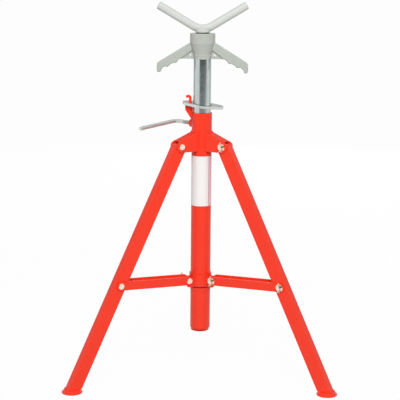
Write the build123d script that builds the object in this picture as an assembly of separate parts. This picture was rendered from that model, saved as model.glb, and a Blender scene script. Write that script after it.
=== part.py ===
from build123d import *
from math import cos, radians, sin, tan
import os

# Pipe jack stand: a folding steel tripod that carries a height-adjustable V head for long pipe.
# Millimetres, Z up. The origin is on the floor, on the mast's axis. One leg points straight back
# along +Y, the other two stand left and right of the front. Legs, braces, lugs and pins are drawn
# once in the XZ plane, with X outwards from the mast, and are then turned to their own azimuths.

# Values that the whole stand shares
LEG_AZIMUTHS = (90, 210, 330)
CUT_OVERRUN = 6.0
WELD_GAP = 0.1
SIDE_GAP = 0.3
RUNNING_GAP = 0.35
PIN_GAP = 0.08

# Mast: 1 1/2 inch pipe
MAST_DIAMETER = 48.3
MAST_WALL = 2.5
MAST_LENGTH = 529.6
MAST_ABOVE_PIVOT = 77.3

# Inner tube: 1 1/4 inch pipe that slides in the mast
TUBE_DIAMETER = 42.4
TUBE_WALL = 3.0
TUBE_LENGTH = 640.0
TUBE_ABOVE_MAST = 125.5

# Legs: folded channels, open towards the mast
LEG_ANGLE = 26.7
LEG_DEPTH = 29.4
LEG_WIDTH = 25.4
LEG_WALL = 2.5
LEG_BEND_RADIUS = 4.0
LEG_TOP_RADIUS = 10.0
TOP_PIVOT_RADIUS = 62.6
TOP_PIVOT_HEIGHT = 564.2
LEG_PIN_SPACING = 357.5

# Feet: round pads with a flared rim
FOOT_RADIUS = 24.6
FOOT_HEIGHT = 8.8
FOOT_RIM_HEIGHT = 3.4
FOOT_CROWN_RADIUS = 19.2
FOOT_EDGE_RADIUS = 1.5
FOOT_CENTRE_OFFSET = 1.5

# Braces: pairs of flat bars outside the legs and the collar's lugs
BRACE_HEIGHT = 20.8
BRACE_THICKNESS = 3.0
COLLAR_PIN_RADIUS = 39.5
COLLAR_PIN_DROP = 9.6

# Sliding collar with three pairs of lugs, and the stop ring that it rests on
COLLAR_WALL = 2.6
COLLAR_HEIGHT = 30.7
COLLAR_BELOW_PIN = 16.5
LUG_RADIUS = 7.0
LUG_CORNER_RADIUS = 4.0
LUG_ROOT_RISE = 6.5
LUG_THICKNESS = 2.8
STOP_RING_HEIGHT = 9.8
STOP_RING_WALL = 1.0

# Clevis pins, washers and split pins
PIN_DIAMETER = 9.5
PIN_HEAD_DIAMETER = 14.5
PIN_HEAD_THICKNESS = 2.8
PIN_HEAD_BEVEL = 0.8
PIN_TAIL = 8.5
WASHER_DIAMETER = 18.0
WASHER_THICKNESS = 1.5
WIRE_DIAMETER = 2.2
WIRE_EYE_RADIUS = 2.6
WIRE_LEG_LENGTH = 6.0
WIRE_SPLAY_ANGLE = 32

# Leg brackets: three folded channels that are welded to the mast
BRACKET_WALL = 3.0
BRACKET_SLOPE = 22.7
BRACKET_END_RADIUS = 13.6
BRACKET_BEND_RADIUS = 4.5

# Lock plate, which hangs lower at the right and the front, and the bracket that traps its left end
LOCK_THICKNESS = 6.0
LOCK_ABOVE_MAST = 17.7
LOCK_SIDE_TILT = 7.2
LOCK_FRONT_TILT = 5.5
LOCK_HALF_WIDTH = 30.0
LOCK_END_RADIUS = 17.0
LOCK_LEFT_REACH = 47.0
LOCK_RIGHT_REACH = 51.5
LOCK_HOLE_GAP = 0.6
LOCK_EDGE_BEVEL = 0.6
LOCK_BRACKET_THICKNESS = 4.0
SHELF_REACH = 40.0
SHELF_EDGE_HEIGHT = 13.3
SLANT_REACH = 28.0
SLANT_DROP = 18.0
TOE_DROP = 7.5
HOOK_STEM_INNER = 24.9
HOOK_STEM_WIDTH = 6.3
HOOK_RISE = 24.1
HOOK_RADIUS = 4.6
HOOK_ARC = 122
HOOK_TIP_LENGTH = 3.2
HOOK_SLOT_GAP = 0.8

# Clamp screw: a bent rod in a round boss on the back left of the mast
CLAMP_AZIMUTH = 135
CLAMP_BELOW_TOP = 28.5
CLAMP_BOSS_DIAMETER = 20.0
CLAMP_BOSS_LENGTH = 12.5
CLAMP_BOSS_BEVEL = 1.5
CLAMP_ROD_DIAMETER = 9.5
CLAMP_REACH = 90.0
CLAMP_BEND_RADIUS = 12.0
CLAMP_LEVER_LENGTH = 117.5
CLAMP_LEVER_ANGLE = 4.8
CLAMP_PAD_THICKNESS = 2.2
CLAMP_ROD_GAP = 0.3

# Two-arm nut on top of the inner tube; its rises and drops are from its bottom face
NUT_TURN = -5.0
NUT_BODY_DIAMETER = 59.6
NUT_HEIGHT = 60.0
NUT_BODY_RISE = 36.8
NUT_CONE_RISE = 10.8
NUT_STEP_RISE = 6.3
NUT_STEP = 0.8
NUT_NECK_DIAMETER = 43.0
NUT_TOP_BEVEL = 1.2
NUT_PILOT_LENGTH = 15.0
NUT_RECESS_DEPTH = 2.5
ARM_THICKNESS = 17.0
ARM_EDGE_BEVEL = 1.5
ARM_REACH = 107.8
ARM_ROOT_DROP = 3.9
ARM_SHOULDER_DROP = 10.0
ARM_SHOULDER_RADIUS = 9.0
ARM_TIP_DROP = 32.1
ARM_TIP_LENGTH = 8.6
ARM_TIP_RADIUS = 3.0
ARM_UNDERSIDE_SLOPE = 36.6
FINGER_REACH_SHARES = (0.473, 0.575, 0.761, 0.911)
FINGER_DROPS = (0, 10.1, 20.1, 27.1)
FINGER_DEPTHS = (1.4, 3.0, 3.6)
WEB_THICKNESS = 9.0
EYE_REACH_SHARE = 0.565
EYE_RISE = 8.9
EYE_RADIUS = 4.4
EYE_CORNER = 1.2

# Jack screw, thrust washer and V head
SCREW_DIAMETER = 32.0
SCREW_LENGTH = 145.0
SCREW_ABOVE_NUT = 1.4
SCREW_BEVEL = 1.0
THRUST_THICKNESS = 1.5
STEM_DIAMETER = 19.0
STEM_LENGTH = 45.0
SOCKET_FLOOR_GAP = 2.6
HEAD_TURN = 7.5
HEAD_ROD_DIAMETER = 19.0
HEAD_SLOPE = 30.6
HEAD_CORNER_RISE = 2.2
HEAD_BEND_RADIUS = 45.0
HEAD_HALF_SPAN = 104.5
HEAD_ROD_BEVEL = 1.2
HUB_DIAMETER = 34.0
HUB_HEIGHT = 11.0
HUB_BEVEL = 1.0
HUB_RECESS_GAP = 0.6


def to_side(sketch):
    """Stands a flat outline, drawn as (outwards, up), in the XZ plane."""
    return Plane.XZ * sketch


def plate(sketch, thickness, offset=0):
    """A plate with a side-view outline, centred at an offset along Y."""
    return Pos(0, offset, 0) * extrude(to_side(sketch), thickness / 2, both=True)


def cross_rod(x, z, diameter, length, offset=0):
    """A round bar along Y, centred at an offset along Y: a pin, or the cut for its hole."""
    return Pos(x, offset, z) * Rot(90, 0, 0) * Cylinder(diameter / 2, length)


def upright(diameter, bottom, height):
    """A round bar on the mast's axis."""
    return Pos(0, 0, bottom + height / 2) * Cylinder(diameter / 2, height)


def pipe(outer, bore, bottom, height):
    """A pipe on the mast's axis."""
    cut = upright(bore, bottom - CUT_OVERRUN, height + 2 * CUT_OVERRUN)
    return upright(outer, bottom, height) - cut


def to_azimuth(piece, azimuth):
    """Turns a piece that was drawn along +X to its own azimuth."""
    return Rot(0, 0, azimuth) * piece


def channel_section(web_height, edge_height, width, wall, bend):
    """A channel's cross-section: the web lies on top at web_height, the open edges at edge_height."""
    depth = web_height - edge_height
    outer = Pos(0, web_height - depth / 2) * Rectangle(width, depth)
    outer = fillet(outer.vertices().group_by(Axis.Y)[-1], bend)
    inner = Pos(0, web_height - wall - depth / 2) * Rectangle(width - 2 * wall, depth)
    inner = fillet(inner.vertices().group_by(Axis.Y)[-1], bend - wall)
    return outer - inner


def channel_bar(start, end, section):
    """A channel run along X from start to end."""
    return Pos(start, 0, 0) * extrude(Plane.YZ * section, end - start)


def round_end_bar(start_x, start_z, end_x, end_z, radius):
    """The outline of a flat bar with a round end about each of its two pins."""
    first = Pos(start_x, start_z) * Circle(radius)
    last = Pos(end_x, end_z) * Circle(radius)
    return make_hull(first.edges() + last.edges())


# Places that follow from the values above
mast_radius = MAST_DIAMETER / 2
mast_bore = MAST_DIAMETER - 2 * MAST_WALL
mast_top = TOP_PIVOT_HEIGHT + MAST_ABOVE_PIVOT
mast_end = mast_top - MAST_LENGTH
leg_pin_x = TOP_PIVOT_RADIUS + LEG_PIN_SPACING * sin(radians(LEG_ANGLE))
leg_pin_z = TOP_PIVOT_HEIGHT - LEG_PIN_SPACING * cos(radians(LEG_ANGLE))
collar_pin_z = leg_pin_z - COLLAR_PIN_DROP
bar_offset = LEG_WIDTH / 2 + SIDE_GAP + BRACE_THICKNESS / 2
bar_face = bar_offset + BRACE_THICKNESS / 2
bracket_inner = LEG_WIDTH / 2 + SIDE_GAP
bracket_face = bracket_inner + BRACKET_WALL
through_length = 2 * (bracket_face + CUT_OVERRUN)
pin_hole = PIN_DIAMETER + 2 * PIN_GAP
lock_z = mast_top + LOCK_ABOVE_MAST
clamp_z = mast_top - CLAMP_BELOW_TOP
tube_top = mast_top + TUBE_ABOVE_MAST
nut_bottom = tube_top + THRUST_THICKNESS + 2 * WELD_GAP
screw_top = nut_bottom + NUT_HEIGHT + SCREW_ABOVE_NUT


def mast_tube():
    """The pipe that carries everything, with a hole where the clamp's pad passes through."""
    tube = pipe(MAST_DIAMETER, mast_bore, mast_end, MAST_LENGTH)
    hole = CLAMP_ROD_DIAMETER + 2 * CLAMP_ROD_GAP
    cut = Rot(0, 90, 0) * Cylinder(hole / 2, mast_radius, align=(Align.CENTER, Align.CENTER, Align.MIN))
    cut = Pos(mast_radius / 2, 0, clamp_z) * cut
    return tube - to_azimuth(cut, CLAMP_AZIMUTH)


def bracket_outline():
    """Side view of a bracket: a round end about the top pivot, widening to its root at the mast."""
    end = Pos(TOP_PIVOT_RADIUS, TOP_PIVOT_HEIGHT) * Circle(BRACKET_END_RADIUS)
    slope = radians(BRACKET_SLOPE)
    rise = BRACKET_END_RADIUS / cos(slope) + TOP_PIVOT_RADIUS * tan(slope)
    root = Line((0, TOP_PIVOT_HEIGHT - BRACKET_END_RADIUS), (0, TOP_PIVOT_HEIGHT + rise))
    return make_hull(end.edges() + [root])


def leg_bracket():
    """A folded channel: two ears outside the leg, joined by a web that slopes down outwards."""
    depth = TOP_PIVOT_RADIUS
    section = channel_section(BRACKET_END_RADIUS, -depth, 2 * bracket_face, BRACKET_WALL, BRACKET_BEND_RADIUS)
    bar = channel_bar(-2 * TOP_PIVOT_RADIUS, TOP_PIVOT_RADIUS, section)
    bar = Pos(TOP_PIVOT_RADIUS, 0, TOP_PIVOT_HEIGHT) * Rot(0, BRACKET_SLOPE, 0) * bar
    bracket = bar & plate(bracket_outline(), 2 * bracket_face + CUT_OVERRUN)
    across = (Align.MIN, Align.CENTER, Align.CENTER)
    mouth = Box(through_length, 2 * bracket_inner, through_length, align=across)
    bracket -= Pos(TOP_PIVOT_RADIUS, 0, TOP_PIVOT_HEIGHT) * Rot(0, BRACKET_SLOPE, 0) * mouth
    cope = upright(MAST_DIAMETER + 2 * WELD_GAP, mast_end, MAST_LENGTH)
    return bracket - cope - cross_rod(TOP_PIVOT_RADIUS, TOP_PIVOT_HEIGHT, pin_hole, through_length)


def leg():
    """A folded channel with its web outwards, a rounded top end, and two holes for its pins."""
    length = (TOP_PIVOT_HEIGHT + LEG_DEPTH) / cos(radians(LEG_ANGLE))
    half = LEG_DEPTH / 2
    section = channel_section(half, -half, LEG_WIDTH, LEG_WALL, LEG_BEND_RADIUS)
    side = Pos(length / 2, 0) * Rectangle(length, LEG_DEPTH)
    outline = make_hull(side.edges() + Circle(LEG_TOP_RADIUS).edges())
    bar = channel_bar(-LEG_DEPTH, length, section) & plate(outline, through_length)
    bar -= cross_rod(0, 0, pin_hole, through_length) + cross_rod(LEG_PIN_SPACING, 0, pin_hole, through_length)
    bar = Pos(TOP_PIVOT_RADIUS, 0, TOP_PIVOT_HEIGHT) * Rot(0, 90 - LEG_ANGLE, 0) * bar
    floor_cut = Plane.XY.offset(FOOT_HEIGHT + WELD_GAP)
    return split(bar, bisect_by=floor_cut, keep=Keep.TOP)


def foot():
    """A round pad under the leg's end, with a crown, a sloping shoulder and a rounded rim."""
    centre = TOP_PIVOT_RADIUS + TOP_PIVOT_HEIGHT * tan(radians(LEG_ANGLE)) - FOOT_CENTRE_OFFSET
    rim = Cylinder(FOOT_RADIUS, FOOT_RIM_HEIGHT, align=(Align.CENTER, Align.CENTER, Align.MIN))
    rim = fillet(rim.edges(), FOOT_EDGE_RADIUS)
    shoulder = Pos(0, 0, FOOT_RIM_HEIGHT - FOOT_EDGE_RADIUS) * Cone(
        FOOT_RADIUS - FOOT_EDGE_RADIUS,
        FOOT_CROWN_RADIUS,
        FOOT_HEIGHT - FOOT_RIM_HEIGHT + FOOT_EDGE_RADIUS,
        align=(Align.CENTER, Align.CENTER, Align.MIN),
    )
    return Pos(centre, 0, 0) * (rim + shoulder)


def brace_pair():
    """Two flat bars with round ends, one each side of the leg and of the collar's lugs."""
    outline = round_end_bar(COLLAR_PIN_RADIUS, collar_pin_z, leg_pin_x, leg_pin_z, BRACE_HEIGHT / 2)
    holes = cross_rod(COLLAR_PIN_RADIUS, collar_pin_z, pin_hole, through_length)
    holes += cross_rod(leg_pin_x, leg_pin_z, pin_hole, through_length)
    return [plate(outline, BRACE_THICKNESS, side * bar_offset) - holes for side in (-1, 1)]


def collar():
    """A sleeve that slides on the mast, with a pair of lugs, flush at the bottom, inside each brace pair."""
    bore = MAST_DIAMETER + 2 * RUNNING_GAP
    outer = bore + 2 * COLLAR_WALL
    bottom = collar_pin_z - COLLAR_BELOW_PIN
    body = upright(outer, bottom, COLLAR_HEIGHT)
    end = Pos(COLLAR_PIN_RADIUS, collar_pin_z) * Circle(LUG_RADIUS)
    corner = Pos(COLLAR_PIN_RADIUS, bottom + LUG_CORNER_RADIUS) * Circle(LUG_CORNER_RADIUS)
    root = Line((mast_radius, bottom), (mast_radius, collar_pin_z + LUG_ROOT_RISE))
    outline = make_hull(end.edges() + corner.edges() + [root])
    lug_offset = (LEG_WIDTH - LUG_THICKNESS) / 2
    hole = cross_rod(COLLAR_PIN_RADIUS, collar_pin_z, pin_hole, through_length)
    for azimuth in LEG_AZIMUTHS:
        for side in (-1, 1):
            body += to_azimuth(plate(outline, LUG_THICKNESS, side * lug_offset), azimuth)
    body -= upright(bore, bottom - CUT_OVERRUN, COLLAR_HEIGHT + 2 * CUT_OVERRUN)
    for azimuth in LEG_AZIMUTHS:
        body -= to_azimuth(hole, azimuth)
    return body


def stop_ring():
    """The ring on the mast that the collar comes to rest on."""
    top = collar_pin_z - COLLAR_BELOW_PIN - SIDE_GAP
    bore = MAST_DIAMETER + 2 * WELD_GAP
    ring = pipe(bore + 2 * STOP_RING_WALL, bore, top - STOP_RING_HEIGHT, STOP_RING_HEIGHT)
    rims = ring.edges().filter_by(GeomType.CIRCLE).group_by(Axis.Z)[0]
    return fillet(rims.sort_by(SortBy.RADIUS)[-1], STOP_RING_WALL / 2)


def pin_head(x, z, face):
    """A clevis pin's bevelled head, seated on the face at +Y."""
    head = Pos(x, face + PIN_HEAD_THICKNESS / 2, z) * Rot(90, 0, 0)
    head = head * Cylinder(PIN_HEAD_DIAMETER / 2, PIN_HEAD_THICKNESS)
    return chamfer(head.edges().group_by(Axis.Y)[-1], PIN_HEAD_BEVEL)


def cross_hole(x, z, face):
    """The cut across a pin's tail for its split pin."""
    drill = WIRE_DIAMETER + 2 * PIN_GAP
    return Pos(x, -tail_centre(face), z) * Cylinder(drill / 2, through_length)


def tail_centre(face):
    """How far from the middle a split pin crosses its clevis pin."""
    return face + WASHER_THICKNESS + SIDE_GAP + PIN_TAIL / 2


def clevis_pin(x, z, face):
    """A full pin: a head on +Y, a shank through both faces, and a drilled tail on -Y."""
    tail = face + WASHER_THICKNESS + PIN_TAIL
    shank = cross_rod(x, z, PIN_DIAMETER, face + tail, (face - tail) / 2)
    shank = chamfer(shank.edges().group_by(Axis.Y)[0], PIN_HEAD_BEVEL)
    return pin_head(x, z, face) + shank - cross_hole(x, z, face)


def open_clevis_pin(x, z, face, inner):
    """The same pin with the shank left out between the ears: a head end and a tail end."""
    pin = clevis_pin(x, z, face)
    gap = cross_rod(x, z, pin_hole + CUT_OVERRUN, 2 * inner)
    return (pin - gap).solids()


def washer(x, z, face):
    """A flat washer between the last plate and the split pin."""
    offset = -(face + WASHER_THICKNESS / 2)
    disc = cross_rod(x, z, WASHER_DIAMETER, WASHER_THICKNESS, offset)
    return disc - cross_rod(x, z, pin_hole, 2 * WASHER_THICKNESS, offset)


def split_pin(x, z, face):
    """A bent wire: an eye above the clevis pin, a straight run through it, and two splayed legs."""
    radius = WIRE_DIAMETER / 2
    run = PIN_DIAMETER / 2 + WIRE_DIAMETER
    shank = Cylinder(radius, 2 * run)
    eye = Pos(0, 0, run + WIRE_EYE_RADIUS) * Rot(0, 90, 90) * Torus(WIRE_EYE_RADIUS, radius)
    wire = shank + eye
    for side in (-1, 1):
        leg_end = Cylinder(radius, WIRE_LEG_LENGTH, align=(Align.CENTER, Align.CENTER, Align.MAX))
        wire += Pos(0, 0, -run + radius) * Rot(0, side * WIRE_SPLAY_ANGLE, 0) * leg_end
    return Pos(x, -tail_centre(face), z) * wire


def pin_set(x, z, face):
    """A washer and a split pin for the tail of one clevis pin."""
    return [washer(x, z, face), split_pin(x, z, face)]


def lock_slope(x):
    """Height of the tilted lock plate's middle plane at a place along X."""
    return lock_z - x * tan(radians(LOCK_SIDE_TILT))


def lock_plate():
    """An oblong plate round the inner tube that bites it when its right end drops."""
    tilt = radians(LOCK_SIDE_TILT + LOCK_FRONT_TILT)
    hole = TUBE_DIAMETER / cos(tilt) + LOCK_THICKNESS * sin(tilt)
    middle = Circle(LOCK_HALF_WIDTH)
    left = Pos(-(LOCK_LEFT_REACH - LOCK_END_RADIUS), 0) * Circle(LOCK_END_RADIUS)
    right = Pos(LOCK_RIGHT_REACH - LOCK_END_RADIUS, 0) * Circle(LOCK_END_RADIUS)
    outline = make_hull(middle.edges() + left.edges() + right.edges())
    body = extrude(outline, LOCK_THICKNESS / 2, both=True)
    body = chamfer(body.edges().group_by(Axis.Z)[0] + body.edges().group_by(Axis.Z)[-1], LOCK_EDGE_BEVEL)
    body -= Cylinder(hole / 2 + LOCK_HOLE_GAP, LOCK_THICKNESS + CUT_OVERRUN)
    slot = Box(
        HOOK_STEM_WIDTH + 2 * HOOK_SLOT_GAP,
        LOCK_BRACKET_THICKNESS + 2 * HOOK_SLOT_GAP,
        LOCK_THICKNESS + CUT_OVERRUN,
    )
    body -= Pos(-(HOOK_STEM_INNER + HOOK_STEM_WIDTH / 2), 0, 0) * slot
    return Pos(0, 0, lock_z) * Rot(0, LOCK_SIDE_TILT, 0) * Rot(LOCK_FRONT_TILT, 0, 0) * body


def shelf_top(x):
    """Height of the shelf that carries the lock plate's left end, just under the tilted plate."""
    below = LOCK_THICKNESS / 2 / cos(radians(LOCK_SIDE_TILT + LOCK_FRONT_TILT))
    front_drop = LOCK_BRACKET_THICKNESS / 2 * tan(radians(LOCK_FRONT_TILT))
    return lock_slope(x) - below - front_drop - SIDE_GAP / 2


def lock_bracket():
    """A plate on the mast's left: a shelf under the lock plate, and a hook that passes through it."""
    inner = mast_radius + WELD_GAP
    tube_side = TUBE_DIAMETER / 2 + RUNNING_GAP
    stem_middle = -(HOOK_STEM_INNER + HOOK_STEM_WIDTH / 2)
    outer_top = shelf_top(-SHELF_REACH)
    outer_bottom = outer_top - SHELF_EDGE_HEIGHT
    shelf = Polygon(
        (-inner, outer_bottom - SLANT_DROP - TOE_DROP),
        (-SLANT_REACH, outer_bottom - SLANT_DROP),
        (-SHELF_REACH, outer_bottom),
        (-SHELF_REACH, outer_top),
        (-tube_side, shelf_top(-tube_side)),
        (-tube_side, mast_top + WELD_GAP),
        (-inner, mast_top + WELD_GAP),
        align=None,
    )
    curl_height = lock_z + HOOK_RISE - HOOK_RADIUS - HOOK_STEM_WIDTH / 2
    stem = Line((stem_middle, mast_top), (stem_middle, curl_height))
    curl = CenterArc((stem_middle - HOOK_RADIUS, curl_height), HOOK_RADIUS, 0, HOOK_ARC)
    tip = Line(curl @ 1, curl @ 1 + HOOK_TIP_LENGTH * (curl % 1))
    hook = trace([stem, curl, tip], HOOK_STEM_WIDTH)
    return plate(shelf + hook, LOCK_BRACKET_THICKNESS)


def clamp_axis(piece):
    """Lays a piece that was drawn along +X on the clamp screw's axis."""
    return Pos(0, 0, clamp_z) * to_azimuth(piece, CLAMP_AZIMUTH)


def along_x(diameter, start, end):
    """A round bar on the X axis."""
    return Pos((start + end) / 2, 0, 0) * Rot(0, 90, 0) * Cylinder(diameter / 2, end - start)


def clamp_boss():
    """A round threaded boss, coped to the mast and welded to it."""
    outer = mast_radius + CLAMP_BOSS_LENGTH
    boss = along_x(CLAMP_BOSS_DIAMETER, 0, outer)
    boss = chamfer(boss.edges().group_by(Axis.X)[-1], CLAMP_BOSS_BEVEL)
    boss -= Cylinder(mast_radius + WELD_GAP, 2 * CLAMP_BOSS_DIAMETER)
    boss -= along_x(CLAMP_ROD_DIAMETER + 2 * CLAMP_ROD_GAP, 0, outer + CUT_OVERRUN)
    return clamp_axis(boss)


pad_start = TUBE_DIAMETER / 2 + SIDE_GAP
rod_start = pad_start + CLAMP_PAD_THICKNESS + WELD_GAP


def clamp_pad():
    """The small shoe that the screw presses on the inner tube."""
    return clamp_axis(along_x(CLAMP_ROD_DIAMETER, pad_start, pad_start + CLAMP_PAD_THICKNESS))


def clamp_screw():
    """A rod, threaded where it passes the boss, and bent square to make a long lever."""
    droop = radians(CLAMP_LEVER_ANGLE)
    end = (CLAMP_REACH, CLAMP_LEVER_LENGTH * cos(droop), -CLAMP_LEVER_LENGTH * sin(droop))
    path = FilletPolyline((rod_start, 0, 0), (CLAMP_REACH, 0, 0), end, radius=CLAMP_BEND_RADIUS)
    rod = sweep(Plane.YZ.offset(rod_start) * Circle(CLAMP_ROD_DIAMETER / 2), path=path)
    return clamp_axis(rod)


def inner_tube():
    """The sliding pipe that sets the height in one long stroke."""
    bore = TUBE_DIAMETER - 2 * TUBE_WALL
    return pipe(TUBE_DIAMETER, bore, tube_top - TUBE_LENGTH, TUBE_LENGTH)


def thrust_washer():
    """The flat ring between the tube's end and the nut."""
    bore = TUBE_DIAMETER - 2 * TUBE_WALL
    return pipe(TUBE_DIAMETER, bore, tube_top + WELD_GAP, THRUST_THICKNESS)


web_reach = FINGER_REACH_SHARES[0] * ARM_REACH
web_rise = web_reach * tan(radians(ARM_UNDERSIDE_SLOPE))


def arm_outline():
    """One arm of the nut in side view: a sloping back, a hooked tip and three finger hollows."""
    back_start = NUT_HEIGHT - ARM_ROOT_DROP
    knuckles = [(share * ARM_REACH, -drop) for share, drop in zip(FINGER_REACH_SHARES, FINGER_DROPS)]
    shoulder = (ARM_REACH, -ARM_SHOULDER_DROP)
    tip_outer = (ARM_REACH, -ARM_TIP_DROP)
    tip_inner = (ARM_REACH - ARM_TIP_LENGTH, -ARM_TIP_DROP)
    back = Polyline((0, back_start), shoulder, tip_outer, tip_inner, knuckles[-1])
    hollows = [
        SagittaArc(start, end, depth)
        for start, end, depth in zip(knuckles, knuckles[1:], FINGER_DEPTHS)
    ]
    root = Polyline(knuckles[0], (0, web_rise), (0, back_start))
    outline = make_face([back, *hollows, root])
    outline = fillet(outline.vertices().group_by(Axis.X)[-1].sort_by(Axis.Y)[-1], ARM_SHOULDER_RADIUS)
    tips = outline.vertices().group_by(Axis.Y)[0]
    return fillet(tips, ARM_TIP_RADIUS)


def arm_web():
    """The thin web that fills the corner between an arm and the neck, with a rounded eye."""
    web = plate(Polygon((0, 0), (web_reach, 0), (0, web_rise), align=None), WEB_THICKNESS)
    eye = RegularPolygon(EYE_RADIUS, 3, rotation=-30)
    eye = fillet(eye.vertices(), EYE_CORNER)
    return web - plate(Pos(EYE_REACH_SHARE * web_reach, EYE_RISE) * eye, WEB_THICKNESS + CUT_OVERRUN)


def nut_body():
    """The turned body: a wide top, a cone and a stepped neck that covers the tube's end."""
    half_body = NUT_BODY_DIAMETER / 2
    neck = NUT_NECK_DIAMETER / 2
    side = Polygon(
        (0, NUT_HEIGHT),
        (half_body - NUT_TOP_BEVEL, NUT_HEIGHT),
        (half_body, NUT_HEIGHT - NUT_TOP_BEVEL),
        (half_body, NUT_BODY_RISE),
        (neck + NUT_STEP, NUT_CONE_RISE),
        (neck + NUT_STEP, NUT_STEP_RISE),
        (neck, NUT_STEP_RISE - NUT_STEP),
        (neck, 0),
        (0, 0),
        align=None,
    )
    return revolve(to_side(side), Axis.Z)


def nut_handle():
    """A cast nut: its body, two hooked arms with their webs, and a pilot inside the tube."""
    core = ARM_THICKNESS - 2 * ARM_EDGE_BEVEL
    face = to_side(arm_outline())
    arm = plate(arm_outline(), core) + arm_web()
    for side in (-1, 1):
        arm += extrude(Pos(0, side * core / 2, 0) * face, ARM_EDGE_BEVEL, dir=(0, side, 0), taper=45)
    nut = nut_body()
    for azimuth in (NUT_TURN, 180 + NUT_TURN):
        nut += to_azimuth(arm, azimuth)
    pilot = TUBE_DIAMETER - 2 * TUBE_WALL - 2 * SIDE_GAP
    nut += upright(pilot, -NUT_PILOT_LENGTH, NUT_PILOT_LENGTH)
    nut -= upright(HUB_DIAMETER + 2 * HUB_RECESS_GAP, NUT_HEIGHT - NUT_RECESS_DEPTH, CUT_OVERRUN)
    height = NUT_HEIGHT + NUT_PILOT_LENGTH + 2 * CUT_OVERRUN
    nut -= upright(SCREW_DIAMETER + 2 * PIN_GAP, -NUT_PILOT_LENGTH - CUT_OVERRUN, height)
    return Pos(0, 0, nut_bottom) * nut


def jack_screw():
    """The screw that the nut raises, with a socket in its top end for the head's stem."""
    screw = upright(SCREW_DIAMETER, screw_top - SCREW_LENGTH, SCREW_LENGTH)
    screw = chamfer(screw.edges().filter_by(GeomType.CIRCLE), SCREW_BEVEL)
    socket = STEM_LENGTH + SOCKET_FLOOR_GAP
    return screw - upright(STEM_DIAMETER + 2 * PIN_GAP, screw_top - socket, socket + CUT_OVERRUN)


def v_head():
    """A round bar bent to a wide V, on a hub whose stem turns in the screw's socket."""
    slope = radians(HEAD_SLOPE)
    corner_height = screw_top + HEAD_CORNER_RISE
    end_height = corner_height + HEAD_HALF_SPAN * tan(slope)
    left = (-HEAD_HALF_SPAN, 0, end_height)
    right = (HEAD_HALF_SPAN, 0, end_height)
    path = FilletPolyline(left, (0, 0, corner_height), right, radius=HEAD_BEND_RADIUS)
    start = Plane(origin=left, z_dir=(cos(slope), 0, -sin(slope)))
    bar = sweep(start * Circle(HEAD_ROD_DIAMETER / 2), path=path)
    rims = [edge for edge in bar.edges() if abs(edge.center().X) > HEAD_HALF_SPAN - HEAD_ROD_DIAMETER / 4]
    bar = chamfer(rims, HEAD_ROD_BEVEL)
    hub_bottom = screw_top + SIDE_GAP
    hub = upright(HUB_DIAMETER, hub_bottom, HUB_HEIGHT)
    hub = chamfer(hub.edges().group_by(Axis.Z)[0], HUB_BEVEL)
    stem = upright(STEM_DIAMETER, screw_top - STEM_LENGTH, STEM_LENGTH + HUB_HEIGHT)
    return Rot(0, 0, HEAD_TURN) * (bar + hub + stem)


def save(name, solids):
    """Writes one node: a single solid, or a group of separate ones."""
    shape = Compound(solids) if isinstance(solids, list) else solids
    export_step(shape, f"parts/{name}.step")


os.makedirs("parts", exist_ok=True)
save("mast_tube", mast_tube())
save("collar_stop_ring", stop_ring())
save("lock_bracket", lock_bracket())
save("clamp_boss", clamp_boss())
save("collar", collar())
save("inner_tube", inner_tube())
save("thrust_washer", thrust_washer())
save("nut_handle", nut_handle())
save("jack_screw", jack_screw())
save("v_head", v_head())
save("lock_plate", lock_plate())
save("clamp_pad", clamp_pad())
save("clamp_screw", clamp_screw())

top_pin_ends = open_clevis_pin(TOP_PIVOT_RADIUS, TOP_PIVOT_HEIGHT, bracket_face, bracket_inner)
top_keepers = pin_set(TOP_PIVOT_RADIUS, TOP_PIVOT_HEIGHT, bracket_face)
collar_pin = clevis_pin(COLLAR_PIN_RADIUS, collar_pin_z, bar_face)
collar_keepers = pin_set(COLLAR_PIN_RADIUS, collar_pin_z, bar_face)
leg_pin = clevis_pin(leg_pin_x, leg_pin_z, bar_face)
leg_keepers = pin_set(leg_pin_x, leg_pin_z, bar_face)
single_leg = leg()
single_foot = foot()
single_bracket = leg_bracket()
single_brace = brace_pair()

for number, azimuth in enumerate(LEG_AZIMUTHS, start=1):
    save(f"leg_bracket_{number}", to_azimuth(single_bracket, azimuth))
    save(f"leg_{number}", to_azimuth(single_leg, azimuth))
    save(f"foot_{number}", to_azimuth(single_foot, azimuth))
    save(f"brace_bars_{number}", [to_azimuth(bar, azimuth) for bar in single_brace])
    save(f"leg_pin_{number}", to_azimuth(leg_pin, azimuth))
    save(f"leg_pin_keepers_{number}", [to_azimuth(piece, azimuth) for piece in leg_keepers])

save("top_pins", [to_azimuth(end, azimuth) for azimuth in LEG_AZIMUTHS for end in top_pin_ends])
save("top_pin_keepers", [to_azimuth(piece, azimuth) for azimuth in LEG_AZIMUTHS for piece in top_keepers])
save("collar_pins", [to_azimuth(collar_pin, azimuth) for azimuth in LEG_AZIMUTHS])
save("collar_pin_keepers", [to_azimuth(piece, azimuth) for azimuth in LEG_AZIMUTHS for piece in collar_keepers])
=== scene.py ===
import bmesh
import bpy
import numpy as np
from mathutils import Matrix


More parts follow.
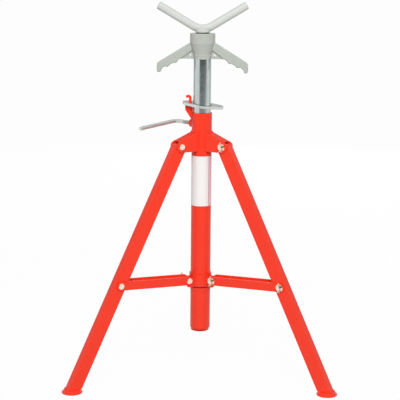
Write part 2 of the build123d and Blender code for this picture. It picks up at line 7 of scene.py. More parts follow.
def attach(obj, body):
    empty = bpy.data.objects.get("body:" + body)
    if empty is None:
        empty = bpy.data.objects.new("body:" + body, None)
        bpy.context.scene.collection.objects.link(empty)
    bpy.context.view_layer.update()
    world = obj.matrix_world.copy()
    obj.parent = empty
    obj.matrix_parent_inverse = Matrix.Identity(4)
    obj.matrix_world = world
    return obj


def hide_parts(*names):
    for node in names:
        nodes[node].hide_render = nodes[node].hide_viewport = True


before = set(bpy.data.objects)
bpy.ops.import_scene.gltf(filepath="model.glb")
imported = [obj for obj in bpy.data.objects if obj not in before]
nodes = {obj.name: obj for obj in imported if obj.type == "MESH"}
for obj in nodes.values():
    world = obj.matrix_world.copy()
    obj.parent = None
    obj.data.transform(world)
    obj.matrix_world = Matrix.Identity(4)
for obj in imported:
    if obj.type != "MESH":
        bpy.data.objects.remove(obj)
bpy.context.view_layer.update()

# Mast: 1 1/2 inch steel pipe, 48.3 mm across, cut square and sprayed with gloss red powder coat, as
# all the welded and folded steel of the stand is. The powder melts to a thick skin with faint orange
# peel, so it shines softly and its colour hardly varies.
MM = 0.001
MAST_RADIUS = 24.15

# The Mix node's two colour inputs and its colour output, whose names its number sockets share.
MIX_FIRST, MIX_SECOND, MIX_COLOUR = 6, 7, 2


def linear(colour):
    """An sRGB hex colour as linear red, green, blue and alpha, by the two parts of the sRGB curve."""
    share = np.array([int(colour[i : i + 2], 16) for i in (1, 3, 5)]) / 255
    low = share / 12.92
    high = ((share + 0.055) / 1.055) ** 2.4
    return (*np.where(share <= 0.04045, low, high), 1.0)


def add_node(tree, kind, settings=None, links=None):
    """Adds a node, sets its properties and sockets, and links outputs to its sockets."""
    node = tree.nodes.new(kind)
    for key, value in (settings or {}).items():
        if isinstance(key, int) or key in node.inputs:
            node.inputs[key].default_value = value
        else:
            setattr(node, key, value)
    for key, source in (links or {}).items():
        tree.links.new(source, node.inputs[key])
    return node


def empty_material(name):
    """A new material and its tree, which has no nodes yet."""
    made = bpy.data.materials.new(name)
    made.use_nodes = True
    made.node_tree.nodes.clear()
    return made, made.node_tree


def start_finish(name, settings):
    """A material with one Principled shader, and its Object coordinates in metres."""
    made, tree = empty_material(name)
    shader = add_node(tree, "ShaderNodeBsdfPrincipled", settings)
    add_node(tree, "ShaderNodeOutputMaterial", {}, {"Surface": shader.outputs[0]})
    place = add_node(tree, "ShaderNodeTexCoord").outputs["Object"]
    return made, tree, shader, place


def make_patchy(tree, shader, share, shades, roughness):
    """A share from nought to one picks the colour between two shades and the roughness between two
    values."""
    first, second = (linear(shade) for shade in shades)
    smooth, rough = roughness
    settings = {"data_type": "RGBA", MIX_FIRST: first, MIX_SECOND: second}
    colour = add_node(tree, "ShaderNodeMix", settings, {0: share})
    gloss = add_node(tree, "ShaderNodeMapRange", {"To Min": smooth, "To Max": rough}, {"Value": share})
    tree.links.new(colour.outputs[MIX_COLOUR], shader.inputs["Base Color"])
    tree.links.new(gloss.outputs[0], shader.inputs["Roughness"])


def red_powder_coat():
    """Polyester powder coat: IOR 1.5, glossy, with orange peel a few millimetres apart."""
    peel_spacing, cloud_size = 3.5 * MM, 70 * MM
    settings = {"IOR": 1.5, "Specular IOR Level": 0.35}
    made, tree, shader, place = start_finish("red_gloss_powder_coat", settings)
    at_place = {"Vector": place}
    peel = add_node(tree, "ShaderNodeTexNoise", {"Scale": 1 / peel_spacing, "Detail": 1.0}, at_place)
    cloud = add_node(tree, "ShaderNodeTexNoise", {"Scale": 1 / cloud_size, "Detail": 3.0}, at_place)
    make_patchy(tree, shader, cloud.outputs[0], shades=("#F5381C", "#EC3319"), roughness=(0.24, 0.36))
    skin = {"Strength": 0.5, "Distance": 0.03 * MM}
    relief = add_node(tree, "ShaderNodeBump", skin, {"Height": peel.outputs[0]})
    tree.links.new(relief.outputs[0], shader.inputs["Normal"])
    return made


def wear(finish, *names):
    """Gives CAD nodes their finish."""
    for name in names:
        for holder in nodes[name].material_slots:
            holder.material = finish


red_coat = red_powder_coat()
wear(red_coat, "mast_tube")


# Label: a glossy white vinyl wrap round the front of the mast and just past its sides, 0.15 mm thick,
# plain but for a thin plum line and a pale pink field to the right of it.
LABEL_BOTTOM, LABEL_TOP = 417.8, 538.6
LABEL_FIRST, LABEL_LAST = -190.0, 10.0
LABEL_GAP, LABEL_THICKNESS = 0.03, 0.15
LABEL_LINE, LABEL_LINE_WIDTH = -43.5, 3.2
MERGE_WITHIN = 0.001


def points(x, y, z):
    """Points from their coordinates. One that all points, or all in a row, share is given once."""
    return np.stack(np.broadcast_arrays(x, y, z), -1)


def surface(name, grid, finish, body, row_loop=False, sharp=40):
    """A piece over a grid of points (rows, columns, xyz) in mm: a quad between each four neighbours.
    Each row closes on itself, and with row_loop the last row joins the first. Points that fall
    together at a pole are merged, faces turn outwards, and bends over `sharp` degrees stay crisp."""
    index = np.arange(grid.shape[0] * grid.shape[1]).reshape(grid.shape[:2])
    if row_loop:
        index = np.vstack([index, index[:1]])
    index = np.hstack([index, index[:, :1]])
    quads = np.stack([index[:-1, :-1], index[:-1, 1:], index[1:, 1:], index[1:, :-1]], -1)
    mesh = bpy.data.meshes.new(name)
    mesh.from_pydata((grid.reshape(-1, 3) * MM).tolist(), [], quads.reshape(-1, 4).tolist())
    shell = bmesh.new()
    shell.from_mesh(mesh)
    bmesh.ops.remove_doubles(shell, verts=shell.verts, dist=MERGE_WITHIN * MM)
    bmesh.ops.recalc_face_normals(shell, faces=shell.faces)
    shell.to_mesh(mesh)
    shell.free()
    mesh.polygons.foreach_set("use_smooth", np.ones(len(mesh.polygons), bool))
    mesh.set_sharp_from_angle(angle=np.radians(sharp))
    mesh.materials.append(finish)
    piece = bpy.data.objects.new(name, mesh)
    bpy.context.scene.collection.objects.link(piece)
    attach(piece, body)
    return piece


def label_grid():
    """A thin closed strip: each row is one height, and its points go out along the inner radius and
    back along the outer one. The first and last rows are drawn in to the middle of the skin."""
    columns = 81
    around = np.radians(np.linspace(LABEL_FIRST, LABEL_LAST, columns))
    turn = np.concatenate([around, around[::-1]])
    inner = MAST_RADIUS + LABEL_GAP
    radius = np.repeat([inner, inner + LABEL_THICKNESS], columns)
    middle = np.full(turn.size, inner + LABEL_THICKNESS / 2)
    radii = np.stack([middle, radius, radius, middle])
    heights = np.array([LABEL_BOTTOM, LABEL_BOTTOM, LABEL_TOP, LABEL_TOP])
    return points(radii * np.cos(turn), radii * np.sin(turn), heights[:, None])


def label_vinyl():
    """Printed vinyl: smooth and glossy. The angle round the mast picks white, line or pink."""
    made, tree, shader, place = start_finish("white_vinyl", {"IOR": 1.5, "Roughness": 0.22})
    split = add_node(tree, "ShaderNodeSeparateXYZ", {}, {"Vector": place}).outputs
    angle = add_node(tree, "ShaderNodeMath", {"operation": "ARCTAN2"}, {0: split["Y"], 1: split["X"]})
    edges = np.radians([LABEL_LINE - LABEL_LINE_WIDTH / 2, LABEL_LINE + LABEL_LINE_WIDTH / 2])
    in_line, in_field = (
        add_node(tree, "ShaderNodeMath", {"operation": "GREATER_THAN", 1: edge}, {0: angle.outputs[0]})
        for edge in edges
    )
    ground = {"data_type": "RGBA", MIX_FIRST: linear("#EBE9E8"), MIX_SECOND: linear("#B0486E")}
    lined = add_node(tree, "ShaderNodeMix", ground, {0: in_line.outputs[0]})
    pink = {"data_type": "RGBA", MIX_SECOND: linear("#F2C0C8")}
    links = {0: in_field.outputs[0], MIX_FIRST: lined.outputs[MIX_COLOUR]}
    printed = add_node(tree, "ShaderNodeMix", pink, links)
    tree.links.new(printed.outputs[MIX_COLOUR], shader.inputs["Base Color"])
    return made


surface("label_wrap", label_grid(), label_vinyl(), "mast")


# Leg brackets: three folded channels on the mast, each welded to it along its two ears and across
# its sloping web.
LEG_AZIMUTHS = (90, 210, 330)
PIVOT_RADIUS, PIVOT_HEIGHT = 62.6, 564.2
BRACKET_SLOPE = np.radians(22.7)
BRACKET_END_RADIUS = 13.6
BRACKET_EAR, BRACKET_FOLD = 16.0, 3.0
BRACKET_BEAD, BRACKET_BEAD_OFF = 1.5, 0.5
wear(red_coat, "leg_bracket_1", "leg_bracket_2", "leg_bracket_3")

# Weld beads: the space between rings and between ripples, and the ripples' height, as shares of the
# bead's radius, and the ripples' lean in radians.
RING_SPACING, RING_POINTS = 0.22, 14
RIPPLE_SPACING, RIPPLE_HEIGHT, RIPPLE_LEAN = 1.25, 0.12, 0.9


def unit(vectors):
    """Vectors brought to a length of one."""
    return vectors / np.linalg.norm(vectors, axis=-1, keepdims=True)


def carried_circle(centre, first, second, size, turn):
    """Circles of points, one row to a centre: centre + size * (first * cos(turn) + second * sin(turn)),
    where first and second are unit vectors square to the path and to each other."""
    ring = np.cos(turn)[None, :, None] * first[:, None] + np.sin(turn)[None, :, None] * second[:, None]
    return centre[:, None] + size[..., None] * ring


def bead_grid(path, out, radius, looped=False):
    """A weld bead in mm: a circle carried along a path, with the vector `out` standing in its plane.
    Its radius swells and sinks by about an eighth over each ripple, and the ripples lean round the
    bead as a puddle's edge does. An open bead shrinks at both ends as the end of a ball does."""
    along = np.concatenate([[0], np.cumsum(np.linalg.norm(np.diff(path, axis=0), axis=1))])
    length = along[-1]
    rings = int(length / (RING_SPACING * radius)) + 2
    place = np.linspace(0, length, rings, endpoint=not looped)
    known = np.hstack([path, np.broadcast_to(out, path.shape)])
    between = np.stack([np.interp(place, along, column) for column in known.T], -1)
    centre, stand = between[:, :3], between[:, 3:]
    if looped:
        run = unit(np.roll(centre, -1, axis=0) - np.roll(centre, 1, axis=0))
    else:
        run = unit(np.gradient(centre, axis=0))
    side = unit(np.cross(run, stand))
    turn = np.linspace(0, 2 * np.pi, RING_POINTS, endpoint=False)
    ripples = round(length / (RIPPLE_SPACING * radius))
    phase = 2 * np.pi * ripples * place[:, None] / length + RIPPLE_LEAN * np.sin(turn)
    size = radius * (1 + RIPPLE_HEIGHT * np.cos(phase))
    if not looped:
        to_end = np.clip(np.minimum(place, length - place) / radius, 0, 1)
        size *= np.sqrt(1 - (1 - to_end) ** 2)[:, None]
    return carried_circle(centre, side, np.cross(side, run), size, turn)


def turned(drawn, azimuth):
    """Points drawn along +X, turned about the mast to an azimuth in degrees."""
    c, s = np.cos(np.radians(azimuth)), np.sin(np.radians(azimuth))
    return drawn @ np.array([[c, s, 0], [-s, c, 0], [0, 0, 1]])


def bracket_seam():
    """Up one ear, across the web and down the other, all on the mast's circle, where x is the root of
    radius squared less y squared. The web's sloping plane gives the height, less the square of the
    way into each fold."""
    web_points = 61
    radius = MAST_RADIUS + BRACKET_BEAD_OFF
    ear = BRACKET_EAR + BRACKET_BEAD_OFF
    across = np.linspace(-ear, ear, web_points)
    reach = np.sqrt(radius**2 - across**2)
    climb = BRACKET_END_RADIUS + BRACKET_BEAD_OFF - (reach - PIVOT_RADIUS) * np.sin(BRACKET_SLOPE)
    into_fold = np.clip(np.abs(across) - ear + BRACKET_FOLD, 0, BRACKET_FOLD)
    top = climb / np.cos(BRACKET_SLOPE) + (PIVOT_HEIGHT - into_fold**2 / BRACKET_FOLD)
    ends = points(reach[0], across[[0, -1]], PIVOT_HEIGHT - BRACKET_END_RADIUS)
    return np.vstack([ends[:1], points(reach, across, top), ends[1:]])


seam = bracket_seam()
straight_out = unit(seam * (1, 1, 0))
bead = bead_grid(seam, straight_out, BRACKET_BEAD)
for number, azimuth in enumerate(LEG_AZIMUTHS, start=1):
    surface(f"weld_bracket_{number}", turned(bead, azimuth), red_coat, "mast")


# Legs: channels folded from 2.5 mm sheet, open towards the mast, each with a round pressed foot
# welded under its end. The seam runs round the channel's outside, on top of the foot.
LEG_ANGLE = np.radians(26.7)
LEG_DEPTH, LEG_HALF_WIDTH, LEG_CORNER = 29.4, 12.7, 4.5
FOOT_TOP, FOOT_SEAM_START = 8.8, 330.8
FOOT_BEAD, FOOT_BEAD_OFF = 1.4, 0.5
for number in (1, 2, 3):
    wear(red_coat, f"leg_{number}", f"foot_{number}")


def leg_end_seam():
    """Along one flange, round the web by two quarter circles and back along the other flange, at the
    height of the foot's top."""
    bend_points = 9
    middle = PIVOT_RADIUS + (PIVOT_HEIGHT - FOOT_TOP) * np.tan(LEG_ANGLE)
    outer = middle + LEG_DEPTH / 2 / np.cos(LEG_ANGLE) + FOOT_BEAD_OFF
    side = LEG_HALF_WIDTH + FOOT_BEAD_OFF
    bend = np.linspace(-np.pi / 2, 0, bend_points)
    corner_x = outer - LEG_CORNER + LEG_CORNER * np.cos(bend)
    corner_y = -side + LEG_CORNER + LEG_CORNER * np.sin(bend)
    x = np.concatenate([[FOOT_SEAM_START], corner_x, corner_x[::-1], [FOOT_SEAM_START]])
    y = np.concatenate([[-side], corner_y, -corner_y[::-1], [side]])
    return points(x, y, FOOT_TOP + FOOT_BEAD_OFF)


bead = bead_grid(leg_end_seam(), (0, 0, 1), FOOT_BEAD)
for number, azimuth in enumerate(LEG_AZIMUTHS, start=1):
    surface(f"weld_foot_{number}", turned(bead, azimuth), red_coat, f"leg_{number}")


# Collar: a short sleeve that slides on the mast, with six lugs cut from sheet and welded to it, a
# stop ring on the mast below it, and the flat bars with round ends that brace the legs.
COLLAR_RADIUS = 27.1
LUG_ROOT, LUG_FACE = (219.6, 241.0), 12.7
LUG_BEAD, LUG_BEAD_OFF = 1.1, 0.4
# Heights of the painted shadow line on the stop ring, just under the collar's lower edge.
RING_SEAT = (214.9, 215.7)
wear(red_coat, "collar", "brace_bars_1", "brace_bars_2", "brace_bars_3")


def painted_shadow_coat():
    """The red coat, with a painted shadow: a dark line just under the seat of the collar, where the
    collar's lower edge shades the stop ring.
    """
    made = red_coat.copy()
    made.name = "red_coat_with_painted_shadow_line"
    tree = made.node_tree
    place = add_node(tree, "ShaderNodeTexCoord").outputs["Object"]
    height = add_node(tree, "ShaderNodeSeparateXYZ", {}, {"Vector": place}).outputs["Z"]
    low, high = (edge * MM for edge in RING_SEAT)
    line = add_node(tree, "ShaderNodeMapRange", {"From Min": low, "From Max": high}, {"Value": height})
    shader = tree.nodes["Principled BSDF"]
    coat = shader.inputs["Base Color"].links[0].from_socket
    # Painted shadow: near black mixed over the band under the collar's lower edge.
    dark = {"data_type": "RGBA", MIX_SECOND: linear("#280504")}
    colour = add_node(tree, "ShaderNodeMix", dark, {0: line.outputs[0], MIX_FIRST: coat})
    tree.links.new(colour.outputs[MIX_COLOUR], shader.inputs["Base Color"])
    return made


# The stop ring gets the red coat with a painted shadow line under the collar.
wear(painted_shadow_coat(), "collar_stop_ring")


def lug_seam(side):
    """Straight up along the outer face of one lug, where it meets the sleeve's circle."""
    across = LUG_FACE + LUG_BEAD_OFF
    reach = np.sqrt((COLLAR_RADIUS + LUG_BEAD_OFF) ** 2 - across**2)
    return points(reach, side * across, LUG_ROOT)


for number, azimuth in enumerate(LEG_AZIMUTHS, start=1):
    for hand, side in (("a", -1), ("b", 1)):
        bead = bead_grid(lug_seam(side), (1, 0, 0), LUG_BEAD)
        surface(f"weld_lug_{number}{hand}", turned(bead, azimuth), red_coat, "collar")


# Lock bracket: a small plate on the mast's left, welded on edge, with a shelf under the lock plate
# and a hooked stem through it.
LOCK_SEAM = (622.6, 641.0)
LOCK_BEAD, LOCK_BEAD_OFF, LOCK_BEAD_SIDE = 1.4, 0.4, 2.3
wear(red_coat, "lock_bracket")


def lock_bracket_seam(side):
    """Straight up the mast beside the bracket."""
    return points(-MAST_RADIUS - LOCK_BEAD_OFF, side * LOCK_BEAD_SIDE, LOCK_SEAM)


for hand, side in (("front", -1), ("back", 1)):
    bead = bead_grid(lock_bracket_seam(side), (1, 0, 0), LOCK_BEAD)
    surface(f"weld_lock_bracket_{hand}", bead, red_coat, "mast")


# Clamp: a threaded boss welded to the mast's back left side, and the clamp screw, a 9.5 mm rod in dull
# zinc plate with a coarse thread on its inner end and a square bend that makes a long lever.
CLAMP_AZIMUTH, CLAMP_HEIGHT = 135, 613.0
BOSS_RADIUS, BOSS_BEAD, BOSS_BEAD_OFF = 10.0, 1.5, 0.5
ROD_RADIUS, ROD_START, ROD_REACH, ROD_BEND, ROD_BEVEL = 4.75, 23.8, 90.0, 12.0, 0.8
LEVER_LENGTH, LEVER_DROOP = 117.5, np.radians(4.8)
CLAMP_PITCH, CLAMP_THREAD_DEPTH, CLAMP_THREAD_END = 1.5875, 0.9, 62.0
CLAMP_CREST, CLAMP_GROOVE = 0.12, 0.2
CLAMP_FADE_TURNS, CLAMP_RUN_OUT = 2, 0.4
wear(red_coat, "clamp_boss")

# Single rings on the rod's two plain stretches, which keep their faces short.
PLAIN_RING, LEVER_RING = 70.0, 60.0


def boss_seam():
    """The saddle curve where a round boss meets the round mast: y = r cos(turn), z = r sin(turn) and
    x = the height of the mast's circle over y."""
    turn_points = 121
    turn = np.linspace(0, 2 * np.pi, turn_points)
    radius = BOSS_RADIUS + BOSS_BEAD_OFF
    across = radius * np.cos(turn)
    reach = np.sqrt((MAST_RADIUS + BOSS_BEAD_OFF) ** 2 - across**2)
    return points(reach, across, radius * np.sin(turn) + CLAMP_HEIGHT)


bead = turned(bead_grid(boss_seam(), (1, 0, 0), BOSS_BEAD, looped=True), CLAMP_AZIMUTH)
surface("weld_clamp_boss", bead, red_coat, "mast", row_loop=True)


def zinc_plate(name, shades, roughness):
    """Electroplated zinc over drawn or rolled steel: a metal with faint clouds and with fine lines
    along the mast, drawn three times coarser than real draw lines so that they show."""
    line_spacing, line_stretch, cloud_size = 1.5 * MM, 0.03, 25 * MM
    made, tree, shader, place = start_finish(name, {"Metallic": 1.0})
    drawn = add_node(tree, "ShaderNodeMapping", {"Scale": (1, 1, line_stretch)}, {"Vector": place})
    fine = {"Scale": 1 / line_spacing, "Detail": 2.0}
    lines = add_node(tree, "ShaderNodeTexNoise", fine, {"Vector": drawn.outputs[0]})
    cloudy = {"Scale": 1 / cloud_size, "Detail": 4.0}
    cloud = add_node(tree, "ShaderNodeTexNoise", cloudy, {"Vector": place})
    make_patchy(tree, shader, cloud.outputs[0], shades, roughness)
    skin = {"Strength": 0.35, "Distance": 0.01 * MM}
    relief = add_node(tree, "ShaderNodeBump", skin, {"Height": lines.outputs[0]})
    tree.links.new(relief.outputs[0], shader.inputs["Normal"])
    return made


def thread_share(turns, crest, groove):
    """Share of a thread's height: flat in the groove, up a flank, flat on the crest, down a flank.
    Crest and groove are the flat shares of the pitch."""
    phase = np.abs((turns % 1.0) * 2 - 1)
    return np.clip((phase - groove) / (1 - crest - groove), 0, 1)


def clamp_rod_grid():
    """A circle carried along X, round a quarter bend and along the drooping lever. Over the thread
    its radius falls by the thread's depth in turns of one pitch, and the thread fades out at its end.
    The first and last rows are poles, and the rows next to them make the bevels."""
    rows_a_turn, bend_rows, columns = 12, 25, 32
    ahead = np.array([1.0, 0, 0])
    lever = np.array([0, np.cos(LEVER_DROOP), -np.sin(LEVER_DROOP)])
    square = np.cross(ahead, lever)
    thread = np.arange(ROD_START + ROD_BEVEL, CLAMP_THREAD_END, CLAMP_PITCH / rows_a_turn)
    plain = [CLAMP_THREAD_END + CLAMP_RUN_OUT, PLAIN_RING]
    straight = np.concatenate([[ROD_START, ROD_START], thread, plain])[:, None]
    bend = np.linspace(0, np.pi / 2, bend_rows)[:, None]
    tip = np.array([LEVER_RING, LEVER_LENGTH - ROD_BEVEL, LEVER_LENGTH, LEVER_LENGTH])[:, None]
    arc = ROD_BEND * (np.sin(bend) * ahead + (1 - np.cos(bend)) * lever)
    arc += (ROD_REACH - ROD_BEND) * ahead
    centre = np.vstack([straight * ahead, arc, ROD_REACH * ahead + tip * lever])
    bend_run = np.cos(bend) * ahead + np.sin(bend) * lever
    run = np.vstack([0 * straight + ahead, bend_run, 0 * tip + lever])
    turn = np.linspace(0, 2 * np.pi, columns, endpoint=False)
    turns = thread[:, None] / CLAMP_PITCH - turn / (2 * np.pi)
    groove = CLAMP_THREAD_DEPTH * (1 - thread_share(turns, CLAMP_CREST, CLAMP_GROOVE))
    fade = np.clip((CLAMP_THREAD_END - thread[:, None]) / (CLAMP_FADE_TURNS * CLAMP_PITCH), 0, 1)
    size = np.full((len(centre), columns), ROD_RADIUS)
    size[2 : 2 + thread.size] -= groove * fade
    size[[0, -1]] = 0
    size[[1, -2]] = ROD_RADIUS - ROD_BEVEL
    rod = carried_circle(centre, np.broadcast_to(square, run.shape), np.cross(run, square), size, turn)
    return turned(rod, CLAMP_AZIMUTH) + (0, 0, CLAMP_HEIGHT)


dull_zinc = zinc_plate("dull_zinc_plate", shades=("#E6EAE8", "#D6DBD9"), roughness=(0.5, 0.6))
clamp_rod = surface("clamp_rod", clamp_rod_grid(), dull_zinc, "clamp")
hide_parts("clamp_screw")
wear(dull_zinc, "clamp_pad")


# Inner tube, thrust washer, lock plate and the clevis pins with their washers and split pins, all
# zinc plated: the tube and its washer bright, the lock plate blanked from 6 mm rolled steel and a
# little duller, and the pins shiny with a pale yellow cast.
bright_zinc = zinc_plate("bright_zinc_plate", shades=("#CBD3D1", "#B7C1C1"), roughness=(0.14, 0.3))
rolled_zinc = zinc_plate("rolled_zinc_plate", shades=("#E6E9E6", "#CBD0CE"), roughness=(0.28, 0.42))
yellow_zinc = zinc_plate("pale_yellow_zinc_plate", shades=("#FBEBD8", "#EDDAC4"), roughness=(0.1, 0.2))
wear(bright_zinc, "inner_tube", "thrust_washer")
wear(rolled_zinc, "lock_plate")
wear(yellow_zinc, "top_pins", "top_pin_keepers", "collar_pins", "collar_pin_keepers")
for number in (1, 2, 3):
    wear(yellow_zinc, f"leg_pin_{number}", f"leg_pin_keepers_{number}")


# Two-arm nut: sand-cast iron with hooked arms, dipped in pale grey-green paint that softens the
# grain of the sand.
def painted_casting():
    """Semi-gloss paint over a cast skin: slow waves of 9 mm, and grains of 1.3 mm, drawn coarser than
    the real sand's so that they show."""
    grain_size, wave_size = 1.3 * MM, 9 * MM
    made, tree, shader, place = start_finish("grey_green_painted_casting", {"IOR": 1.5})
    at_place = {"Vector": place}
    grain = add_node(tree, "ShaderNodeTexNoise", {"Scale": 1 / grain_size, "Detail": 2.0}, at_place)
    wave = add_node(tree, "ShaderNodeTexNoise", {"Scale": 1 / wave_size, "Detail": 3.0}, at_place)
    make_patchy(tree, shader, wave.outputs[0], shades=("#B6BAB2", "#A9AEA6"), roughness=(0.32, 0.5))
    waves = {"Strength": 0.5, "Distance": 0.09 * MM}
    coarse = add_node(tree, "ShaderNodeBump", waves, {"Height": wave.outputs[0]})
    grains = {"Strength": 0.5, "Distance": 0.03 * MM}
    links = {"Height": grain.outputs[0], "Normal": coarse.outputs[0]}
    relief = add_node(tree, "ShaderNodeBump", grains, links)
    tree.links.new(relief.outputs[0], shader.inputs["Normal"])
    return made


wear(painted_casting(), "nut_handle")


# Jack screw: a 32 mm steel bar with a rolled trapezoidal thread of 5.08 mm pitch, dark with oil,
# and a plain socket bored down its top for the stem of the head.
SCREW_BOTTOM, SCREW_TOP = 685.1, 830.1
SCREW_RADIUS, SCREW_ROOT, SCREW_PITCH, SCREW_BEVEL = 16.0, 13.6, 5.08, 1.0
SCREW_CREST, SCREW_GROOVE = 0.3, 0.3
SOCKET_RADIUS, SOCKET_DEPTH, SOCKET_BEVEL = 9.58, 47.6, 0.4


def oiled_steel():
    """Dark rolled steel under a film of oil: a metal with soft smears of gloss."""
    smear_size = 6 * MM
    made, tree, shader, place = start_finish("oiled_dark_steel", {"Metallic": 1.0})
    smeared = {"Scale": 1 / smear_size, "Detail": 4.0}
    smear = add_node(tree, "ShaderNodeTexNoise", smeared, {"Vector": place})
    make_patchy(tree, shader, smear.outputs[0], shades=("#3E403E", "#5C5D58"), roughness=(0.2, 0.45))
    return made


def jack_screw_grid():
    """Radius over height and angle. It starts at the middle of the lower face, goes out over a bevel,
    up the thread (root plus the thread's share of its height), in over the upper bevel and down the
    socket to its floor."""
    rows_a_turn, columns = 16, 72
    turn = np.linspace(0, 2 * np.pi, columns, endpoint=False)
    height = np.arange(SCREW_BOTTOM + SCREW_BEVEL, SCREW_TOP - SCREW_BEVEL, SCREW_PITCH / rows_a_turn)
    turns = height[:, None] / SCREW_PITCH - turn / (2 * np.pi)
    thread = SCREW_ROOT + (SCREW_RADIUS - SCREW_ROOT) * thread_share(turns, SCREW_CREST, SCREW_GROOVE)
    floor = SCREW_TOP - SOCKET_DEPTH
    before = np.array([(0, SCREW_BOTTOM), (SCREW_ROOT - SCREW_BEVEL, SCREW_BOTTOM)])
    after = np.array(
        [
            (SCREW_ROOT, SCREW_TOP - SCREW_BEVEL / 2),
            (SCREW_ROOT - SCREW_BEVEL / 2, SCREW_TOP),
            (SOCKET_RADIUS + SOCKET_BEVEL, SCREW_TOP),
            (SOCKET_RADIUS, SCREW_TOP - SOCKET_BEVEL),
            (SOCKET_RADIUS, floor),
            (0, floor),
        ]
    )
    flat = np.ones(columns)
    radius = np.vstack([np.outer(before[:, 0], flat), thread, np.outer(after[:, 0], flat)])
    height = np.concatenate([before[:, 1], height, after[:, 1]])
    return points(radius * np.cos(turn), radius * np.sin(turn), height[:, None])


oiled = oiled_steel()
threaded_screw = surface("threaded_screw", jack_screw_grid(), oiled, "screw", sharp=30)
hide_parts("jack_screw")


# V head: a 19 mm round bar bent to a wide V and welded to a turned hub, painted light grey. It stands
# turned a little on the screw, as in the photograph.
HEAD_TURN = 7.5
HEAD_BAR_RADIUS = 9.5
HUB_TOP = 841.4
HUB_BEAD, HUB_BEAD_SIDE, HUB_BEAD_RISE, HUB_BEAD_END = 1.3, 0.3, 0.6, 12.5


def light_grey_paint():
    """Sprayed grey enamel on bar steel: smooth, half gloss, a little uneven."""
    cloud_size, grain_size = 30 * MM, 1.8 * MM
    made, tree, shader, place = start_finish("light_grey_enamel", {"IOR": 1.5})
    at_place = {"Vector": place}
    cloud = add_node(tree, "ShaderNodeTexNoise", {"Scale": 1 / cloud_size, "Detail": 3.0}, at_place)
    grain = add_node(tree, "ShaderNodeTexNoise", {"Scale": 1 / grain_size, "Detail": 1.0}, at_place)
    make_patchy(tree, shader, cloud.outputs[0], shades=("#CDCFCB", "#C2C5C1"), roughness=(0.28, 0.42))
    skin = {"Strength": 0.2, "Distance": 0.02 * MM}
    relief = add_node(tree, "ShaderNodeBump", skin, {"Height": grain.outputs[0]})
    tree.links.new(relief.outputs[0], shader.inputs["Normal"])
    return made


def hub_seam(side):
    """A straight run on the hub's top, beside the bar."""
    across = side * (HEAD_BAR_RADIUS + HUB_BEAD_SIDE)
    return points((-HUB_BEAD_END, HUB_BEAD_END), across, HUB_TOP + HUB_BEAD_RISE)


head_grey = light_grey_paint()
wear(head_grey, "v_head")
for hand, side in (("front", -1), ("back", 1)):
    bead = turned(bead_grid(hub_seam(side), (0, 0, 1), HUB_BEAD), HEAD_TURN)
    surface(f"weld_hub_{hand}", bead, head_grey, "head")


# Studio: a wide white floor that looks white to the camera and keeps a faint shadow, a dim white
# sky, a large soft lamp above the camera and a weaker one behind the stand, and dark and grey cards
# round the stand that only reflections show.
FLOOR_HALF = 60.0
FLOOR_WHITE_SHARE = 0.975
SKY_FILL = 0.4

# Each card stands on a line from one x and y to another, from one height to another.
CARDS = {
    "front": ((-2.9, -4.0), (6.4, -4.0), (0.0, 2.8), "#525755"),
    "back": ((3.0, 4.0), (-3.0, 4.0), (2.35, 5.5), "#4A4644"),
    "back_right": ((2.36, 1.1), (1.93, 1.74), (0.0, 1.3), "#A4A6A5"),
    "back_left": ((-1.93, 1.74), (-2.36, 1.1), (0.0, 1.3), "#A4A6A5"),
}

# Each lamp's place, width and height in metres, and power in watts. Both face one point of the mast.
LAMPS = {
    "soft_key": ((0.1, -3.25, 2.8), (2.4, 1.8), 138),
    "back_fill": ((0.8, 3.5, 1.2), (2.0, 1.6), 62),
}
LAMP_TARGET = (0, 0, 0.45)


def white_to_the_eye(tree):
    """One where the ray comes from the camera, a mirror or glass, and nought otherwise."""
    rays = add_node(tree, "ShaderNodeLightPath").outputs
    seen = rays["Is Camera Ray"]
    for kind in ("Is Glossy Ray", "Is Transmission Ray"):
        either = add_node(tree, "ShaderNodeMath", {"operation": "MAXIMUM"}, {0: seen, 1: rays[kind]})
        seen = either.outputs[0]
    return seen


def studio_floor_paint():
    """White matt floor: mostly its own white where it is seen, and plain matt pale grey where it
    throws light back at the stand."""
    made, tree = empty_material("studio_floor")
    matt = add_node(tree, "ShaderNodeBsdfDiffuse", {"Color": linear("#C8C8C8")})
    white = add_node(tree, "ShaderNodeEmission", {"Color": (1, 1, 1, 1), "Strength": 1.0})
    part = {"operation": "MULTIPLY", 1: FLOOR_WHITE_SHARE}
    share = add_node(tree, "ShaderNodeMath", part, {0: white_to_the_eye(tree)})
    links = {0: share.outputs[0], 1: matt.outputs[0], 2: white.outputs[0]}
    both = add_node(tree, "ShaderNodeMixShader", {}, links)
    add_node(tree, "ShaderNodeOutputMaterial", {}, {"Surface": both.outputs[0]})
    return made


def card_paint(name, colour):
    """A card that shows one even colour, whatever light falls on it."""
    made, tree = empty_material(name)
    glow = add_node(tree, "ShaderNodeEmission", {"Color": linear(colour), "Strength": 1.0})
    add_node(tree, "ShaderNodeOutputMaterial", {}, {"Surface": glow.outputs[0]})
    return made


def stage_card(name, corners, finish):
    """A flat four-cornered card in metres that isn't part of the object."""
    mesh = bpy.data.meshes.new(name)
    mesh.from_pydata(corners, [], [(0, 1, 2, 3)])
    mesh.materials.append(finish)
    card = bpy.data.objects.new(name, mesh)
    bpy.context.scene.collection.objects.link(card)
    return card


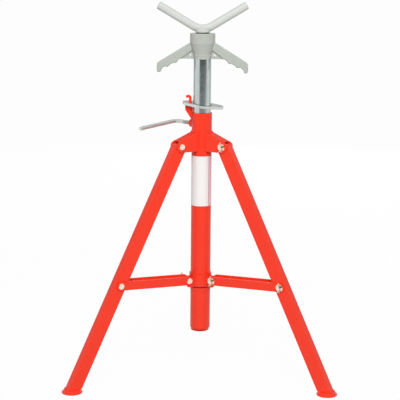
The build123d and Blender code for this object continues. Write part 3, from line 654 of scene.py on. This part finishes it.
def lamp(name, place, size, power):
    """A large rectangular soft lamp that faces the target: its axes are the way back from there, the
    level direction square to that, and the one square to both."""
    data = bpy.data.lights.new(name, "AREA")
    data.shape = "RECTANGLE"
    data.size, data.size_y = size
    data.energy = power
    made = bpy.data.objects.new(name, data)
    bpy.context.scene.collection.objects.link(made)
    back = unit(np.array(place) - np.array(LAMP_TARGET))
    right = unit(np.cross((0, 0, 1), back))
    axes = np.eye(4)
    axes[:3] = np.stack([right, np.cross(back, right), back, place], -1)
    made.matrix_world = Matrix(axes.tolist())
    made.visible_glossy = False


floor_corners = [(x * FLOOR_HALF, y * FLOOR_HALF, 0) for x, y in ((-1, -1), (1, -1), (1, 1), (-1, 1))]
stage_card("studio_floor", floor_corners, studio_floor_paint())

for side, (start, end, (bottom, top), colour) in CARDS.items():
    name = f"dark_card_{side}"
    corners = [(*start, bottom), (*end, bottom), (*end, top), (*start, top)]
    card = stage_card(name, corners, card_paint(name, colour))
    for ray in ("camera", "diffuse", "shadow", "transmission"):
        setattr(card, f"visible_{ray}", False)

sky = bpy.data.worlds.new("white_sky")
bpy.context.scene.world = sky
sky.use_nodes = True
tree = sky.node_tree
tree.nodes.clear()
fill = {"To Min": SKY_FILL, "To Max": 1.0}
strength = add_node(tree, "ShaderNodeMapRange", fill, {"Value": white_to_the_eye(tree)})
glow = add_node(tree, "ShaderNodeBackground", {"Color": (1, 1, 1, 1)}, {"Strength": strength.outputs[0]})
add_node(tree, "ShaderNodeOutputWorld", {}, {"Surface": glow.outputs[0]})

for name, (place, size, power) in LAMPS.items():
    lamp(name, place, size, power)


# Camera: where the photograph was taken from, 3 m in front of the stand and 1 m up, on a long lens. It
# looks 11 degrees down and a trace to the right, and is rolled half a degree.
CAMERA_PLACE = (-0.00493, -2.95927, 1.00631)
CAMERA_TILT, CAMERA_TO_RIGHT, CAMERA_ROLL = np.radians((11.04465, 0.0435, 0.5389))
LENS, SENSOR = 112.36, 36.0
NEAR, FAR = 0.05, 200
lens = bpy.data.cameras.new("photo_camera")
lens.lens, lens.sensor_width, lens.sensor_fit = LENS, SENSOR, "HORIZONTAL"
lens.clip_start, lens.clip_end = NEAR, FAR
camera = bpy.data.objects.new("photo_camera", lens)
bpy.context.scene.collection.objects.link(camera)
camera.matrix_world = (
    Matrix.Translation(CAMERA_PLACE)
    @ Matrix.Rotation(-CAMERA_TO_RIGHT, 4, "Z")
    @ Matrix.Rotation(np.pi / 2 - CAMERA_TILT, 4, "X")
    @ Matrix.Rotation(CAMERA_ROLL, 4, "Z")
)
bpy.context.scene.camera = camera
bpy.context.scene.view_settings.view_transform = "Standard"
